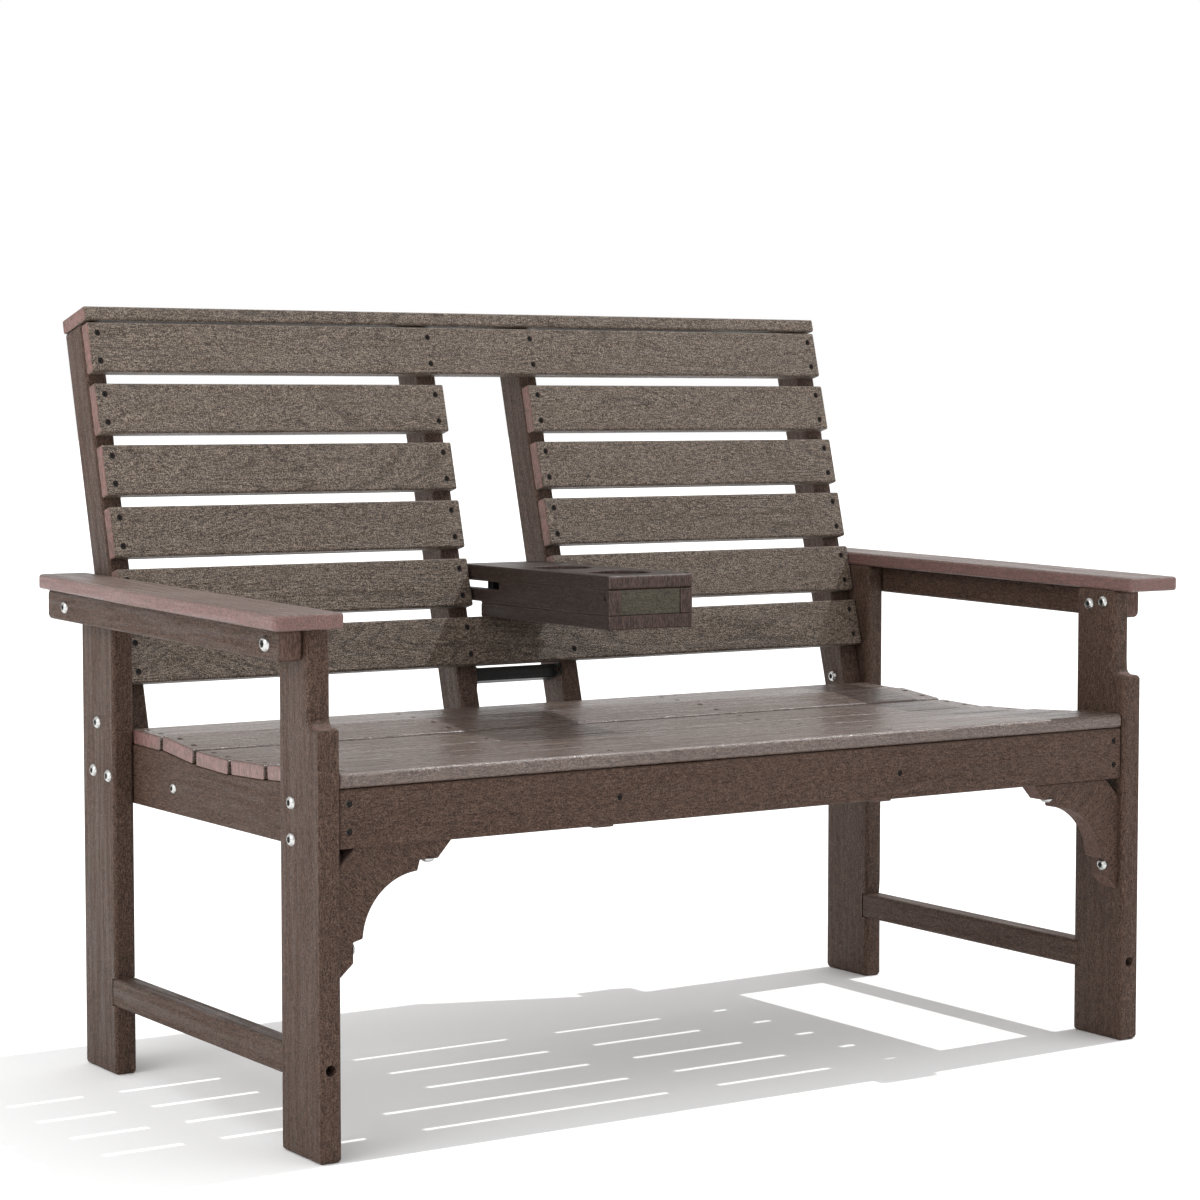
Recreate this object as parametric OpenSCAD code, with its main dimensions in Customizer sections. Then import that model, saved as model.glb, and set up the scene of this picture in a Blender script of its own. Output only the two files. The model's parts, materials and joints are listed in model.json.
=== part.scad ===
// Two-seat garden bench of recycled plastic lumber. Its middle tray lowers
// between the seats, with two cup holes, or folds up into the backrest.
// X runs across the bench, Y towards the back, Z up; sizes in millimetres.

/* [Overall] */
// Clear width between the left and right legs
bay_w = 1154; // [1000:2:1500]
// Height of the seat's front edge
seat_h = 430; // [380:1:470]
// Height of the armrests' top face at their front ends
arm_h = 607; // [570:1:640]
// Height of the top of the backrest
back_h = 956; // [900:1:1000]
// Lean of the backrest from upright, in degrees
recline = 15; // [12:0.5:18]

/* [Lumber] */
// Thickness of the slats, armrests, top cap and tray boards
slat_t = 18; // [16:1:21]
// Thickness of the legs, rails and stiles
post_t = 28; // [25:1:32]
// Rounding of the boards' long edges
edge_r = 3; // [1:0.5:4]

/* [Legs and arms] */
// Depth of a leg, front to back
leg_d = 92; // [84:1:110]
// Clear distance between the front and the rear leg
leg_gap = 442; // [420:1:460]
// Height of the stretchers' underside above the ground
stretcher_z = 86; // [60:1:140]
// Height of a stretcher
stretcher_h = 35; // [28:1:50]
// Width of an armrest at its front end
arm_front_w = 84; // [72:1:100]
// Width of an armrest at its rear end
arm_rear_w = 68; // [60:1:74]
// Height of the rail bolted under each armrest
arm_rail_h = 38; // [30:1:48]

/* [Seat] */
// Width of a seat slat
seat_slat_w = 83; // [78:1:84]
// Gap between two seat slats
seat_gap = 9; // [6:1:10]
// Height of the front apron
apron_h = 66; // [50:1:80]
// Height of the seat's side rails under the level of the seat
seat_rail_drop = 92; // [84:1:104]

/* [Backrest] */
// Height of a backrest slat
back_slat_h = 65; // [60:1:66]
// Gap between two backrest slats
back_gap = 15; // [12:1:16]
// Depth of the stiles behind the slats
stile_d = 50; // [44:1:56]

/* [Folding tray] */
// Width of the tray
tray_w = 127; // [120:1:150]
// Distance that the tray slides on its pivot pins while it folds up
tray_slide = 104; // [98:1:108]
// Height of the tray's side panels between its two boards
tray_side_h = 32; // [28:1:36]
// Diameter of a cup hole
cup_d = 81; // [70:1:86]
// Diameter of the two pivot pins
pin_d = 10; // [8:1:12]

/* [Hidden] */

$fn = 32;
// Clearances: beside a screw's shank, beside a turning pin, between two moving bodies
screw_gap = 0.15;
pin_gap = 0.05;
run_gap = 0.4;

// Rise of the arms towards the back, in degrees
arm_tilt = 1;

// Levels and lines that several pieces share
leg_h = arm_h - slat_t;
function arm_z(y) = leg_h + y * tan(arm_tilt);
rear_leg_y = leg_d + leg_gap;
leg_in = bay_w / 2;
leg_out = leg_in + post_t;
slat_len = bay_w - 2;
seat_front_y = 3;
seat_back_y = seat_front_y + 6 * seat_slat_w + 5 * seat_gap;
rail_bottom = seat_h - seat_rail_drop;
// Level of the rails behind the last seat slat, where the stiles stand
heel_z = seat_h - slat_t - 5;
rail_end_y = rear_leg_y + leg_d;
apron_y = 4;
apron_top = seat_h - slat_t - 0.5;
apron_bottom = apron_top - apron_h;
cross_rail_y = seat_back_y + 8;

// The backrest's own axes: local Y is depth behind the slats, local Z is up the slope from the cap
back_z = back_h - slat_t * cos(recline);
back_y = seat_back_y - 16 + (back_z - seat_h) * tan(recline);
back_pitch = back_slat_h + back_gap;
first_row = 3;
middle_x = tray_w / 2 + 4;
bottom_row = first_row + 5 * back_pitch;

// Centre line of the whole bench, front to back
arm_front_y = -12;
cap_d = slat_t + stile_d + 2;
cap_back_y = back_y + (slat_t - edge_r) * sin(recline) + (cap_d - edge_r) * cos(recline) + edge_r;
mid_y = (arm_front_y + cap_back_y) / 2;

// Tray: c runs from its tip to the back, b up from its underside
panel_c = 309;
block_t = 13;
top_c = 367;
side_c = 388;
tray_h = 2 * slat_t + tray_side_h;
side_x = tray_w / 2 - slat_t;
pin_b = slat_t + 24;
tip_s = 79.5;
// Underside of the lowered tray, just over the bottom backrest slat
tray_z = back_z - bottom_row * cos(recline) + run_gap;
pin_s = (back_z - tray_z - pin_b * (1 + sin(recline))) / cos(recline);
pin_y = back_y - pin_s * sin(recline) + pin_b * cos(recline);
pin_z = tray_z + pin_b;
slot_front_c = pin_s - tip_s;
slot_back_c = slot_front_c + tray_slide;
tray_y = pin_y - slot_back_c;
slot_r = pin_d / 2 + 0.3;
cup_c = [71.5, 206.5];
stop_s = tip_s + side_c + run_gap;

// Drop of the front and rear top edge of each seat slat under the seat's height, front to back
seat_dip = [[0, -1.5], [-3, -8], [-9, -11.5], [-12.5, -10], [-9, -0.5], [-2, 0]];

// Fasteners
dome_r = 8;
arm_dome_r = 9.5;
bolt_r = 4;
screw_head_r = 4;
screw_r = 2.2;
bolt_len = 46;
leg_bolt_yz = [
    [63, apron_bottom + 48], [63, apron_bottom + 7],
    [rear_leg_y + 59, heel_z - 31], [rear_leg_y + 15, heel_z - 34]
];
arm_bolt_yz = [[68, arm_z(68) - 20], [rear_leg_y + 78, arm_z(rear_leg_y + 78) - 20]];
stile_bolt_yz = [rear_leg_y + 46, heel_z + 30];
support_x = 208;
seat_screw_x = [-leg_in + 14, -support_x, support_x, leg_in - 14];
stile_x = [-leg_in + post_t / 2, -middle_x - post_t / 2, middle_x + post_t / 2, leg_in - post_t / 2];
bracket_y = apron_y + 5;
stretcher_mid_z = stretcher_z + stretcher_h / 2;
stretcher_house = 10;

// Colours
brown = [0.37, 0.32, 0.29];
sawn = [0.47, 0.38, 0.35];
steel = [0.74, 0.75, 0.76];
dark_steel = [0.16, 0.15, 0.15];
black = [0.07, 0.07, 0.07];

// ---- Shared shapes ----

// Puts the bench's middle over the origin
module bench() {
    translate([0, -mid_y, 0]) children();
}

// Left piece as drawn at +X turned over to -X, right piece as drawn
module on_side(side) {
    if (side < 0) mirror([1, 0, 0]) children();
    else children();
}

// Backrest axes: local X across, local Y behind the slat faces, local Z up from the cap's underside
module on_back() {
    translate([0, back_y, back_z]) rotate([-recline, 0, 0]) children();
}

// Rectangle from the origin with rounded corners
module rounded(w, h, r) {
    translate([r, 0]) square([w - 2 * r, h]);
    translate([0, r]) square([w, h - 2 * r]);
    for (x = [r, w - r]) {
        for (y = [r, h - r]) translate([x, y]) circle(r);
    }
}

// Board along X from x0 to x1, its section w in Y by h in Z
module board_x(x0, x1, w, h, r = edge_r) {
    translate([x0, 0, 0]) rotate([90, 0, 90]) linear_extrude(x1 - x0) rounded(w, h, r);
}

// Slab across X, from x0 to x1, whose outline is drawn in Y and Z
module slab(x0, x1) {
    translate([x0, 0, 0]) rotate([90, 0, 90]) linear_extrude(x1 - x0) children();
}

// Low domed head seated at the origin
module dome_head(r) {
    intersection() {
        translate([0, 0, -r * 0.9]) sphere(r * 1.36);
        cylinder(h = 5, r = r);
    }
}

// Bolt with a domed head seated at the origin, its shank running down -Z
module dome_bolt(len, gap = 0, r = dome_r) {
    if (gap == 0) dome_head(r);
    translate([0, 0, -len]) cylinder(h = len, r = bolt_r + gap);
}

// Bolt that passes through a stack of boards, with a domed cap on both faces
module through_bolt(len, gap = 0, r = dome_r) {
    dome_bolt(len, gap, r);
    if (gap == 0) translate([0, 0, -len]) rotate([180, 0, 0]) dome_head(dome_r);
    else translate([0, 0, -len - 1]) cylinder(h = 2, r = bolt_r + gap);
}

// Flat-headed screw sunk in a recess at the origin, its shank running down -Z
module sunk_screw(len, gap = 0) {
    depth = 4.5;
    translate([0, 0, -depth]) cylinder(h = gap > 0 ? depth + 1 : 2.3, r = screw_head_r + gap);
    translate([0, 0, -len]) cylinder(h = len - depth + 0.01, r = screw_r + gap);
}

// ---- Fastener patterns, drawn with gap = 0 as the pieces and with a gap as their holes ----

module leg_bolt_set(gap = 0) {
    for (p = leg_bolt_yz) translate([leg_out, p[0], p[1]]) rotate([0, 90, 0]) dome_bolt(bolt_len, gap);
    translate([leg_out, stile_bolt_yz[0], stile_bolt_yz[1]]) rotate([0, 90, 0]) through_bolt(2 * post_t, gap);
    translate([leg_in, rear_leg_y - 112, rail_bottom + 31]) rotate([0, 90, 0]) dome_bolt(20, gap, 6.5);
}

module arm_bolt_set(gap = 0) {
    front = arm_bolt_yz[0];
    rear = arm_bolt_yz[1];
    translate([leg_out + post_t, front[0], front[1]]) rotate([0, 90, 0]) through_bolt(2 * post_t, gap, arm_dome_r);
    translate([leg_out + post_t, rear[0], rear[1]]) rotate([0, 90, 0]) dome_bolt(bolt_len, gap);
    translate([leg_in, 42, arm_z(42) - 16]) rotate([0, -90, 0]) dome_bolt(bolt_len, gap);
}

module stretcher_screw_set(gap = 0) {
    head_r = 6;
    depth = 22;
    reach = 55;
    sides = [[0, 1], [rear_leg_y + leg_d, -1]];
    for (s = sides) {
        translate([leg_in + post_t / 2, s[0], stretcher_mid_z]) rotate([-90 * s[1], 0, 0]) {
            if (gap > 0) translate([0, 0, -1]) cylinder(h = depth + 1, r = head_r + 0.5);
            else translate([0, 0, depth - 5]) cylinder(h = 5, r = head_r);
            translate([0, 0, depth - 0.01]) cylinder(h = leg_d + reach - depth, r = bolt_r + gap);
        }
    }
}

module apron_screw_set(gap = 0) {
    for (x = [-leg_in + 13, leg_in - 13]) {
        for (z = [19, 50]) translate([x, apron_y, apron_bottom + z]) rotate([90, 0, 0]) sunk_screw(45, gap);
    }
    for (x = [-support_x, support_x]) {
        translate([x, apron_y, apron_bottom + 32]) rotate([90, 0, 0]) sunk_screw(45, gap);
    }
}

// Two screws at each crossing of a seat slat and a rail
module seat_screw_set(gap = 0) {
    for (k = [0:5]) {
        on_slat(k) {
            for (x = seat_screw_x) {
                for (y = [0.27, 0.73]) translate([x, y * seat_slat_w, slat_t]) sunk_screw(30, gap);
            }
        }
    }
}

// Two screws at each crossing of a backrest slat and a stile
module back_screw_set(gap = 0) {
    on_back() {
        for (k = [0:5]) {
            for (x = stile_x) {
                for (f = [0.22, 0.78]) {
                    s = first_row + k * back_pitch + f * back_slat_h;
                    translate([x, 0, -s]) rotate([90, 0, 0]) sunk_screw(42, gap);
                }
            }
        }
    }
}

// One bolt up into the apron, one sideways into the leg
module bracket_bolt_set(gap = 0) {
    reach = 118;
    step = 20;
    y = apron_y + 12;
    translate([leg_in - reach, y, apron_bottom - step]) rotate([180, 0, 0]) dome_bolt(step + 30, gap);
    translate([leg_in - step, y + 1, apron_bottom - reach + 5]) rotate([0, -90, 0]) dome_bolt(step + 22, gap);
}

module stop_bar_screw_set(gap = 0) {
    on_back() {
        for (d = [22, 60]) {
            translate([middle_x - 3, d, -stop_s - 9]) rotate([0, -90, 0]) sunk_screw(22, gap);
        }
    }
}

module pin_bores() {
    translate([0, pin_y, pin_z]) rotate([0, 90, 0]) {
        cylinder(h = 2 * (middle_x + post_t + 1), r = pin_d / 2 + pin_gap, center = true);
    }
}

// ---- Legs, stretchers and arms ----

module front_leg_outline() {
    step_y = 22;
    cove = 10;
    cove_z = leg_h - 99;
    difference() {
        polygon([[0, 0], [leg_d, 0], [leg_d, arm_z(leg_d)], [0, arm_z(0)]]);
        translate([-1, cove_z]) square([step_y + 1, leg_h]);
        translate([-1, cove_z - cove]) square([step_y - cove + 1, cove + 1]);
        translate([step_y - cove, cove_z]) circle(cove);
        translate([leg_d - stretcher_house, stretcher_z]) square([leg_d, stretcher_h]);
    }
}

module front_leg(side) {
    color(brown) bench() on_side(side) difference() {
        slab(leg_in, leg_out) front_leg_outline();
        leg_bolt_set(screw_gap);
        arm_bolt_set(screw_gap);
        stretcher_screw_set(screw_gap);
        bracket_bolt_set(screw_gap);
    }
}

module rear_leg(side) {
    color(brown) bench() on_side(side) difference() {
        slab(leg_in, leg_out) translate([rear_leg_y, 0]) difference() {
            polygon([[0, 0], [leg_d, 0], [leg_d, arm_z(rail_end_y)], [0, arm_z(rear_leg_y)]]);
            translate([-1, stretcher_z]) square([stretcher_house + 1, stretcher_h]);
        }
        leg_bolt_set(screw_gap);
        arm_bolt_set(screw_gap);
        stretcher_screw_set(screw_gap);
    }
}

module stretcher(side) {
    color(brown) bench() on_side(side) difference() {
        slab(leg_in, leg_out) translate([leg_d - stretcher_house, stretcher_z]) {
            square([leg_gap + 2 * stretcher_house, stretcher_h]);
        }
        stretcher_screw_set(screw_gap);
    }
}

module arm_rail(side) {
    front = 32;
    color(brown) bench() on_side(side) difference() {
        slab(leg_out, leg_out + post_t) translate([0, leg_h]) rotate(arm_tilt) {
            translate([front, -arm_rail_h]) rounded(rail_end_y + 40 - front, arm_rail_h, 8);
        }
        arm_bolt_set(screw_gap);
    }
}

// Seen from above: straight inside, tapering outside, rounded front corners
module armrest_outline() {
    r = 10;
    front = arm_front_y;
    back = rail_end_y + 46;
    kink_y = 0.55 * back;
    kink_w = arm_rear_w + 0.72 * (arm_front_w - arm_rear_w);
    front_arc = [for (a = [270:15:360]) [leg_in + arm_front_w - r + r * cos(a), front + r + r * sin(a)]];
    rear_arc = [for (a = [0:18:90]) [leg_in + arm_rear_w - r + r * cos(a), back - r + r * sin(a)]];
    inner_arc = [for (a = [180:18:270]) [leg_in + 5 + 5 * cos(a), front + 5 + 5 * sin(a)]];
    polygon(concat(front_arc, [[leg_in + kink_w, kink_y]], rear_arc, [[leg_in, back]], inner_arc));
}

module armrest(side) {
    color(brown) bench() on_side(side) translate([0, 0, leg_h]) rotate([arm_tilt, 0, 0]) {
        linear_extrude(slat_t) armrest_outline();
    }
}

// ---- Seat ----

// Places a seat slat's own axes: Y back along its slope, Z up, origin under its front edge
module on_slat(k) {
    y = seat_front_y + k * (seat_slat_w + seat_gap);
    tilt = atan2(seat_dip[k][1] - seat_dip[k][0], seat_slat_w);
    translate([0, y, seat_h + seat_dip[k][0]]) rotate([tilt, 0, 0]) translate([0, 0, -slat_t]) children();
}

// The two bottom corners of slat k in Y and Z
function slat_foot(k) = let (
    y = seat_front_y + k * (seat_slat_w + seat_gap),
    z = seat_h + seat_dip[k][0],
    tilt = atan2(seat_dip[k][1] - seat_dip[k][0], seat_slat_w),
    front = [y + slat_t * sin(tilt), z - slat_t * cos(tilt)]
) [front, front + seat_slat_w * [cos(tilt), sin(tilt)]];

module seat_slat(k) {
    nose_r = k == 0 ? 6 : edge_r;
    color(brown) bench() difference() {
        on_slat(k) board_x(-slat_len / 2, slat_len / 2, seat_slat_w, slat_t, nose_r);
        seat_screw_set(screw_gap);
    }
}

// Outline of a rail under the slats, from behind the apron to end_y
module seat_rail_outline(end_y) {
    front_y = apron_y + slat_t;
    notch_y = bracket_y + post_t + 1;
    notch_z = apron_bottom + 0.3;
    feet = [for (k = [0:5]) each slat_foot(k)];
    first = [front_y, feet[0][1] + (feet[1][1] - feet[0][1]) * (front_y - feet[0][0]) / (feet[1][0] - feet[0][0])];
    rear = [for (i = [1:11]) feet[i]];
    heel = end_y > seat_back_y + 20 ? [[seat_back_y + 0.9, heel_z], [end_y, heel_z]] : [[end_y, feet[11][1]]];
    base = [[end_y, rail_bottom], [notch_y, rail_bottom], [notch_y, notch_z], [front_y, notch_z]];
    polygon(concat([first], rear, heel, base));
}

module seat_rail(side) {
    color(brown) bench() on_side(side) difference() {
        slab(leg_in - post_t, leg_in) seat_rail_outline(rail_end_y);
        leg_bolt_set(screw_gap);
        seat_screw_set(screw_gap);
        apron_screw_set(screw_gap);
    }
}

module middle_support(side) {
    color(brown) bench() on_side(side) difference() {
        slab(support_x - post_t / 2, support_x + post_t / 2) seat_rail_outline(cross_rail_y);
        seat_screw_set(screw_gap);
        apron_screw_set(screw_gap);
    }
}

module front_apron() {
    color(brown) bench() difference() {
        translate([0, apron_y, apron_bottom]) board_x(-slat_len / 2, slat_len / 2, slat_t, apron_h);
        apron_screw_set(screw_gap);
        for (side = [-1, 1]) on_side(side) bracket_bolt_set(screw_gap);
    }
}

module rear_cross_rail() {
    color(brown) bench() {
        translate([0, cross_rail_y, rail_bottom]) {
            board_x(post_t - leg_in, leg_in - post_t, post_t, heel_z - rail_bottom, 1);
        }
    }
}

// Quarter-ring bracket; its outline is drawn from the inner corner, x inwards and y down
module bracket_outline() {
    tail = 146;
    step = 20;
    hollow = 106;
    difference() {
        polygon([
            [0, 22], [22, 0], [tail, 0], [128, step], [105, step], [102, 31], [75, 75],
            [31, 102], [step, 105], [step, 128], [0, tail]
        ]);
        translate([hollow, hollow]) circle(74, $fn = 96);
    }
}

module corner_bracket(side) {
    color(brown) bench() on_side(side) difference() {
        translate([leg_in, bracket_y + post_t, apron_bottom]) rotate([90, 0, 0]) mirror([1, 0, 0]) {
            mirror([0, 1, 0]) linear_extrude(post_t) bracket_outline();
        }
        bracket_bolt_set(screw_gap);
    }
}

// ---- Backrest ----

// Stile between x0 and x1, cut level on the rail's heel and upright behind the last seat slat
module stile(x0, x1) {
    difference() {
        on_back() translate([x0, slat_t, -back_h]) cube([x1 - x0, stile_d, back_h]);
        translate([x0 - 1, -back_h, heel_z - back_h]) cube([x1 - x0 + 2, 3 * back_h, back_h]);
        translate([x0 - 1, 0, 0]) cube([x1 - x0 + 2, seat_back_y + 1, seat_h + 1]);
        back_screw_set(screw_gap);
    }
}

module outer_stile(side) {
    color(brown) bench() on_side(side) difference() {
        stile(leg_in - post_t, leg_in);
        leg_bolt_set(screw_gap);
    }
}

module middle_stile(side) {
    color(brown) bench() on_side(side) difference() {
        stile(middle_x, middle_x + post_t);
        pin_bores();
        stop_bar_screw_set(screw_gap);
    }
}

module top_cap() {
    over = 1;
    color(brown) bench() on_back() board_x(-leg_in - over, leg_in + over, cap_d, slat_t);
}

// Backrest slat in row k, counted from the top
module back_slat(k, x0, x1) {
    color(brown) bench() difference() {
        on_back() translate([0, 0, -first_row - k * back_pitch - back_slat_h]) {
            board_x(x0, x1, slat_t, back_slat_h);
        }
        back_screw_set(screw_gap);
    }
}

module full_back_slat(k) {
    back_slat(k, -slat_len / 2, slat_len / 2);
}

module left_back_slat(k) {
    back_slat(k, -slat_len / 2, -middle_x);
}

module right_back_slat(k) {
    back_slat(k, middle_x, slat_len / 2);
}

// Bar that the folded tray's side panels stand on, with a flange at each end
module tray_stop_bar() {
    bar_h = 18;
    flange = 3;
    color(black) bench() difference() {
        on_back() translate([0, 0, -stop_s - bar_h]) {
            translate([flange - middle_x, 30, 0]) cube([2 * (middle_x - flange), 24, bar_h]);
            for (x = [-middle_x, middle_x - flange]) translate([x, slat_t, 0]) cube([flange, 46, bar_h]);
        }
        for (side = [-1, 1]) on_side(side) stop_bar_screw_set(screw_gap);
    }
}

// ---- Folding tray ----

// The lowered tray's axes: Y from its tip to the back, Z up from its underside
module on_tray() {
    bench() translate([0, tray_y, tray_z]) children();
}

module tray_bottom() {
    color(brown) on_tray() difference() {
        board_x(-tray_w / 2, tray_w / 2, panel_c, slat_t, 2);
        tray_bottom_screws(screw_gap);
    }
}

module tray_top() {
    color(brown) on_tray() difference() {
        translate([0, 0, slat_t + tray_side_h]) board_x(-tray_w / 2, tray_w / 2, top_c, slat_t, 4);
        for (c = cup_c) translate([0, c, 0]) cylinder(h = tray_h + 1, d = cup_d, $fn = 96);
    }
}

module tray_side(side) {
    foot = 2;
    color(brown) on_tray() on_side(side) difference() {
        translate([side_x, 0, slat_t]) cube([slat_t, side_c, tray_side_h]);
        translate([0, panel_c, slat_t - 1]) cube([tray_w, side_c, foot + 1]);
        slab(side_x - 1, tray_w / 2 + 1) translate([0, pin_b]) {
            translate([slot_front_c, -slot_r]) square([tray_slide, 2 * slot_r]);
            for (c = [slot_front_c, slot_back_c]) translate([c, 0]) circle(slot_r);
        }
        tray_bottom_screws(screw_gap);
        tray_side_screws(screw_gap);
    }
}

module tray_end() {
    inset = 1.5;
    color(brown) on_tray() difference() {
        translate([-side_x, inset, slat_t]) cube([2 * side_x, slat_t, tray_side_h]);
        for (side = [-1, 1]) on_side(side) tray_side_screws(screw_gap);
    }
}

module tray_block() {
    front_b = 4;
    color(black) on_tray() translate([-side_x, panel_c, front_b]) {
        cube([2 * side_x, block_t, tray_h - slat_t - front_b]);
    }
}

// Screws up through the bottom board into the side panels
module tray_bottom_screws(gap = 0) {
    for (x = [-side_x - slat_t / 2, side_x + slat_t / 2]) {
        for (c = [40, 155, 270]) translate([x, c, 0]) rotate([180, 0, 0]) sunk_screw(slat_t + 15, gap);
    }
}

// Screws through the side panels into the end board
module tray_side_screws(gap = 0) {
    translate([tray_w / 2, 10, pin_b - 4]) rotate([0, 90, 0]) sunk_screw(40, gap);
}

module tray_screws() {
    color(dark_steel) on_tray() {
        tray_bottom_screws();
        for (side = [-1, 1]) on_side(side) tray_side_screws();
    }
}

// Pin through each middle stile; its end rides in the tray's slot
module tray_pivot_pins() {
    head = 6;
    inner_x = side_x + 1;
    outer_x = middle_x + post_t + pin_gap;
    color(steel) bench() for (side = [-1, 1]) on_side(side) {
        translate([inner_x, pin_y, pin_z]) rotate([0, 90, 0]) cylinder(h = outer_x - inner_x, d = pin_d);
        translate([outer_x, pin_y, pin_z]) rotate([0, 90, 0]) cylinder(h = head, r = pin_d * 0.85);
    }
}

// ---- Fastener nodes ----

module both_sides(tone) {
    color(tone) bench() for (side = [-1, 1]) on_side(side) children();
}

module leg_bolts() {
    both_sides(steel) leg_bolt_set();
}

module arm_bolts() {
    both_sides(steel) arm_bolt_set();
}

module bracket_bolts() {
    both_sides(steel) bracket_bolt_set();
}

module stretcher_screws() {
    both_sides(dark_steel) stretcher_screw_set();
}

module apron_screws() {
    color(dark_steel) bench() apron_screw_set();
}

module seat_screws() {
    color(dark_steel) bench() seat_screw_set();
}

module back_screws() {
    color(dark_steel) bench() back_screw_set();
}

module stop_bar_screws() {
    both_sides(dark_steel) stop_bar_screw_set();
}

front_leg(-1);  // left_front_leg
front_leg(1);  // right_front_leg
rear_leg(-1);  // left_rear_leg
rear_leg(1);  // right_rear_leg
stretcher(-1);  // left_stretcher
stretcher(1);  // right_stretcher
seat_rail(-1);  // left_seat_rail
seat_rail(1);  // right_seat_rail
arm_rail(-1);  // left_arm_rail
arm_rail(1);  // right_arm_rail
armrest(-1);  // left_armrest
armrest(1);  // right_armrest
middle_support(-1);  // left_middle_support
middle_support(1);  // right_middle_support
front_apron();
rear_cross_rail();
seat_slat(0);  // seat_slat_1
seat_slat(1);  // seat_slat_2
seat_slat(2);  // seat_slat_3
seat_slat(3);  // seat_slat_4
seat_slat(4);  // seat_slat_5
seat_slat(5);  // seat_slat_6
outer_stile(-1);  // left_outer_stile
outer_stile(1);  // right_outer_stile
middle_stile(-1);  // left_middle_stile
middle_stile(1);  // right_middle_stile
top_cap();
full_back_slat(0);  // back_slat_top
full_back_slat(5);  // back_slat_bottom
left_back_slat(1);  // left_back_slat_2
left_back_slat(2);  // left_back_slat_3
left_back_slat(3);  // left_back_slat_4
left_back_slat(4);  // left_back_slat_5
right_back_slat(1);  // right_back_slat_2
right_back_slat(2);  // right_back_slat_3
right_back_slat(3);  // right_back_slat_4
right_back_slat(4);  // right_back_slat_5
corner_bracket(-1);  // left_corner_bracket
corner_bracket(1);  // right_corner_bracket
tray_stop_bar();
leg_bolts();
arm_bolts();
bracket_bolts();
stretcher_screws();
apron_screws();
seat_screws();
back_screws();
stop_bar_screws();
tray_bottom();
tray_top();
tray_side(-1);  // tray_left_side
tray_side(1);  // tray_right_side
tray_end();
tray_block();
tray_screws();
tray_pivot_pins();
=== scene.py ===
"""Looks and studio for a two-seat bench of plastic lumber with a folding middle tray."""

from __future__ import annotations

import json
import logging
import math
from collections.abc import Callable
from dataclasses import dataclass
from enum import Enum

import bmesh
import bpy
import numpy as np
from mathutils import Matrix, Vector


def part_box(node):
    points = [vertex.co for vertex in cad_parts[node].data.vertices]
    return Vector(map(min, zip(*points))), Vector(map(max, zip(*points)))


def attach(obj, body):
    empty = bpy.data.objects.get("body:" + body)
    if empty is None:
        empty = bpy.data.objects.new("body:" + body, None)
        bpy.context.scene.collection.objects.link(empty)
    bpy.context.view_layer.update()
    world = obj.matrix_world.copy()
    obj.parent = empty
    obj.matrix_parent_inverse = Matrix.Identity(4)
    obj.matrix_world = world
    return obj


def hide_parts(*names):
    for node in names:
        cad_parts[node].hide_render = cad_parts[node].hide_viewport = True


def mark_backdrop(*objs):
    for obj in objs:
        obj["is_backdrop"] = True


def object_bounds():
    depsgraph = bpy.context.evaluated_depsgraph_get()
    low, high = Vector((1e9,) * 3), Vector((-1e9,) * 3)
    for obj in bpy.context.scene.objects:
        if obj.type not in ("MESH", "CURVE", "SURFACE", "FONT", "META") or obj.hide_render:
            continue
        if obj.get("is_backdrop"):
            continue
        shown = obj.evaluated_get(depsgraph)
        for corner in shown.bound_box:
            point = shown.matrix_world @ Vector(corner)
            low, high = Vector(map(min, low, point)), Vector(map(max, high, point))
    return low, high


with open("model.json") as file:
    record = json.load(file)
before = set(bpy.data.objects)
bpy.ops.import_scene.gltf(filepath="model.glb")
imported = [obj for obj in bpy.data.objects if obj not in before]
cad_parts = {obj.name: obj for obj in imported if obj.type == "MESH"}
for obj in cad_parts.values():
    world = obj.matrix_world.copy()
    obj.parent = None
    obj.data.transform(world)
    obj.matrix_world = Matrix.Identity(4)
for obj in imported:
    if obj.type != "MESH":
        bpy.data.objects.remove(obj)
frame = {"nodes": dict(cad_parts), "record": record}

log = logging.getLogger("bench")
MM = 0.001


# ---------------------------------------------------------------- node tree helpers


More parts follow.
